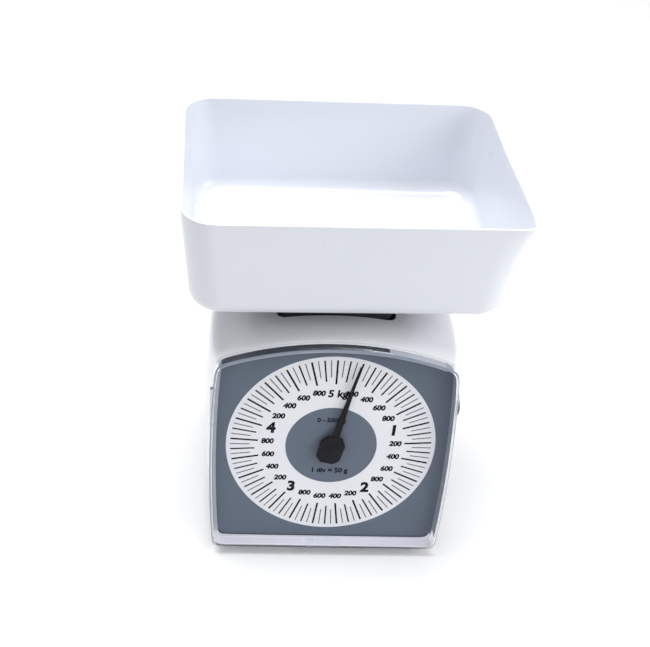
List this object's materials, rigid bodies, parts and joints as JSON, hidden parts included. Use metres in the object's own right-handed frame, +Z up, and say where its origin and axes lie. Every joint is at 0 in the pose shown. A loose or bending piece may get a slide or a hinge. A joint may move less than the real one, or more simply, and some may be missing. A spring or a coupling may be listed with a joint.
{
  "type": "mechanical kitchen scale",
  "caption": "Spring kitchen scale with a round dial on a leaning clear-fronted face, a white housing with a side zero knob, and a lift-off rectangular bowl with a corner spout.",
  "frame": {"origin": "on the table under the middle of the whole object, bowl included", "axes": "+Z up, the dial and its lens face -Y, the bowl's spout corner and the zero knob are at +X"},
  "size_m": [0.2184, 0.1896, 0.2555],
  "materials": {
    "white_plastic": "satin white moulded plastic",
    "bowl_white": "glossy white moulded plastic",
    "grey_base": "fine matt light grey plastic",
    "black_rubber": "soft matt black rubber",
    "slate_card": "printed card, slate grey with a white scale ring",
    "clear_lens": "clear polished polystyrene",
    "brass": "turned brass",
    "zinc_steel": "zinc plated sheet steel",
    "steel_pin": "bright drawn steel",
    "spring_steel": "oiled spring steel",
    "screw_steel": "bright plated steel",
    "natural_nylon": "natural moulded nylon",
    "black_plastic": "black moulded plastic",
    "olive_knob": "dark olive grey moulded plastic",
    "dark_carrier": "dark grey moulded plastic"
  },
  "bodies": {
    "case": {"housing": "white_plastic", "base_plate": "grey_base", "rubber_feet": "black_rubber", "base_screws": "screw_steel", "dial_card": "slate_card", "lens": "clear_lens", "arbor_bush": "brass", "movement_bracket": "zinc_steel", "movement_screws": "screw_steel", "roller_pin": "steel_pin", "rear_frame": "zinc_steel", "frame_screws": "screw_steel", "pivot_pins": "steel_pin", "main_spring": "spring_steel", "spindle_bush": "natural_nylon", "spindle_bracket": "zinc_steel", "bracket_screws": "screw_steel", "overload_stop": "screw_steel"},
    "platform": {"platform": "dark_carrier", "column": "zinc_steel", "column_pins": "steel_pin", "column_screws": "screw_steel"},
    "bowl": {"bowl": "bowl_white"},
    "lower_lever": {"lower_lever": "zinc_steel", "rack_pin": "steel_pin"},
    "upper_lever": {"upper_lever": "zinc_steel"},
    "rack": {"rack": "brass"},
    "pointer": {"pointer": "black_plastic", "pinion_arbor": "brass"},
    "guide_roller": {"guide_roller": "natural_nylon"},
    "zero_knob": {"zero_knob": "olive_knob", "zero_spindle": "steel_pin", "zero_cam": "natural_nylon"},
    "spring_bar": {"spring_bar": "steel_pin"}
  },
  "joints": [
    {"name": "platform_drop", "type": "slide", "parent": "case", "child": "platform", "axis": [0, 0, -1], "range_m": [-0.0004, 0.00719], "stiffness_N_per_m": 6569, "springref_m": -0.00054, "deforming": ["main_spring"]},
    {"name": "bowl_lift", "type": "slide", "parent": "platform", "child": "bowl", "axis": [0, 0, 1], "range_m": [0, 0.12]},
    {"name": "lower_lever_hinge", "type": "hinge", "parent": "case", "child": "lower_lever", "pos_m": [-0.0046, 0.0682, 0.05], "axis": [1, 0, 0], "range_deg": [-0.37, 6.22]},
    {"name": "upper_lever_hinge", "type": "hinge", "parent": "case", "child": "upper_lever", "pos_m": [-0.0046, 0.0682, 0.13], "axis": [1, 0, 0], "range_deg": [-0.37, 6.22]},
    {"name": "rack_slide", "type": "slide", "parent": "case", "child": "rack", "axis": [0, -0.1392, -0.9903], "range_m": [-0.00087, 0.01458]},
    {"name": "pointer_spin", "type": "hinge", "parent": "case", "child": "pointer", "pos_m": [-0.0046, -0.0723, 0.086], "axis": [0, 0.9903, -0.1392], "range_deg": [-20.75, 348.13]},
    {"name": "guide_roller_spin", "type": "hinge", "parent": "case", "child": "guide_roller", "pos_m": [0.00406, -0.0723, 0.086], "axis": [0, -0.9903, 0.1392], "range_deg": [-19.92, 334.21]},
    {"name": "zero_turn", "type": "hinge", "parent": "case", "child": "zero_knob", "pos_m": [-0.0046, -0.0498, 0.104], "axis": [1, 0, 0], "range_deg": [-115, 115]},
    {"name": "spring_bar_lift", "type": "slide", "parent": "case", "child": "spring_bar", "axis": [0, 0, 1], "range_m": [-0.00095, 0.00095]}
  ],
  "couplings": [
    {"joint": "lower_lever_hinge", "follows": "platform_drop", "rad_per_m": 15.038},
    {"joint": "upper_lever_hinge", "follows": "platform_drop", "rad_per_m": 15.038},
    {"joint": "rack_slide", "follows": "platform_drop", "ratio": 2.0197},
    {"joint": "pointer_spin", "follows": "platform_drop", "rad_per_m": 841.52},
    {"joint": "guide_roller_spin", "follows": "platform_drop", "rad_per_m": 807.86},
    {"joint": "zero_turn", "follows": "spring_bar_lift", "rad_per_m": -2094.4}
  ]
}
